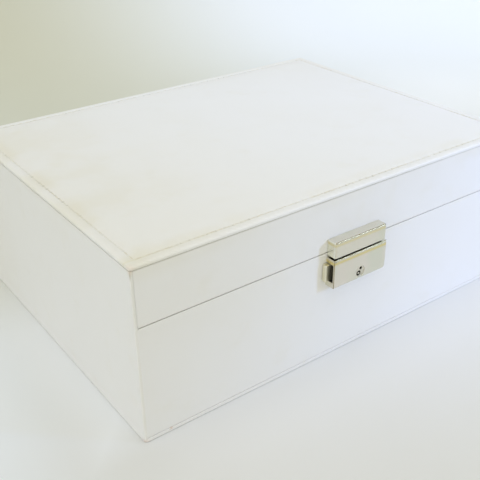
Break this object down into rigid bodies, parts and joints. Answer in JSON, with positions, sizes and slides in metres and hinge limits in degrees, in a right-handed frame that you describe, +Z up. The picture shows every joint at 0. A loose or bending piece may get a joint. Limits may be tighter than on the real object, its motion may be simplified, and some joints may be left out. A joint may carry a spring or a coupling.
{
  "type": "travel jewelry case",
  "caption": "White leatherette travel jewelry case: L-shaped stitched lid hinged at the back, push-button lock with key cylinder, lift-out tray, mirror and velvet compartments.",
  "frame": {"origin": "centre of the case's underside, on the surface it stands on", "axes": "+X to the right along the case's length, +Y to the back where the hinges are, +Z up"},
  "size_m": [0.25, 0.1996, 0.0947],
  "materials": {
    "leatherette": "white faux leather, fine grain, satin",
    "base_wrap": "white faux leather paper on the base board",
    "mdf": "raw fibreboard",
    "greyboard": "raw greyboard",
    "foam": "open cell foam sheet",
    "velvet": "short pile velvet",
    "ribbon": "satin ribbon",
    "mirror_glass": "silvered glass",
    "nickel": "warm nickel plate, polished",
    "steel": "zinc plated steel"
  },
  "bodies": {
    "case": {"base_board": "base_wrap", "left_side_board": "mdf", "right_side_board": "mdf", "back_board": "mdf", "front_board": "mdf", "body_cover": "leatherette", "front_cover": "leatherette", "floor_liner": "velvet", "front_liner": "velvet", "back_liner": "velvet", "left_liner": "velvet", "right_liner": "velvet", "tray_rail_left": "velvet", "tray_rail_right": "velvet", "lower_divider_long": "velvet", "lower_divider_cross_left": "velvet", "lower_divider_cross_right": "velvet", "hinge_leaf_lower_left": "nickel", "hinge_leaf_lower_right": "nickel", "hinge_pin_left": "steel", "hinge_pin_right": "steel", "hinge_screws": "nickel", "lock_shell": "nickel", "lock_back_plate": "steel", "lock_plug_collar": "steel", "lock_rivets": "steel", "latch_spring": "steel"},
    "lid": {"lid_board": "greyboard", "lid_foam": "foam", "lid_cover": "leatherette", "lid_strip_board": "mdf", "lid_strip_cover": "leatherette", "lid_strip_liner": "velvet", "lid_glue_blocks": "mdf", "lid_liner": "velvet", "mirror_frame": "velvet", "mirror": "mirror_glass", "hinge_leaf_upper_left": "nickel", "hinge_leaf_upper_right": "nickel", "hinge_rivets": "steel", "hasp_shell": "nickel", "hasp_back_plate": "steel", "hasp_tongue": "nickel", "hasp_rivets": "steel"},
    "latch": {"lock_button": "nickel", "latch_bar": "steel"},
    "key_cylinder": {"key_plug": "nickel", "key_cam": "steel"},
    "tray": {"tray_floor": "velvet", "tray_wall_front": "velvet", "tray_wall_back": "velvet", "tray_wall_left": "velvet", "tray_wall_right": "velvet", "tray_divider_long": "velvet", "tray_dividers_cross": "velvet", "ring_rolls": "velvet", "tray_tabs": "ribbon"}
  },
  "joints": [
    {"name": "lid_hinge", "type": "hinge", "parent": "case", "child": "lid", "pos_m": [0, 0.097, 0.0909], "axis": [-1, 0, 0], "range_deg": [0, 100]},
    {"name": "button_press", "type": "slide", "parent": "case", "child": "latch", "axis": [1, 0, 0], "range_m": [0, 0.002], "stiffness_N_per_m": 300, "springref_m": -0.003, "deforming": ["latch_spring"]},
    {"name": "key_turn", "type": "hinge", "parent": "case", "child": "key_cylinder", "pos_m": [0.0006, -0.1, 0.0493], "axis": [0, 1, 0], "range_deg": [0, 90]},
    {"name": "tray_lift", "type": "slide", "parent": "case", "child": "tray", "axis": [0, 0, 1], "range_m": [0, 0.0585]}
  ],
  "couplings": [
    {"joint": "tray_lift", "follows": "lid_hinge", "m_per_rad": 0.0333}
  ]
}
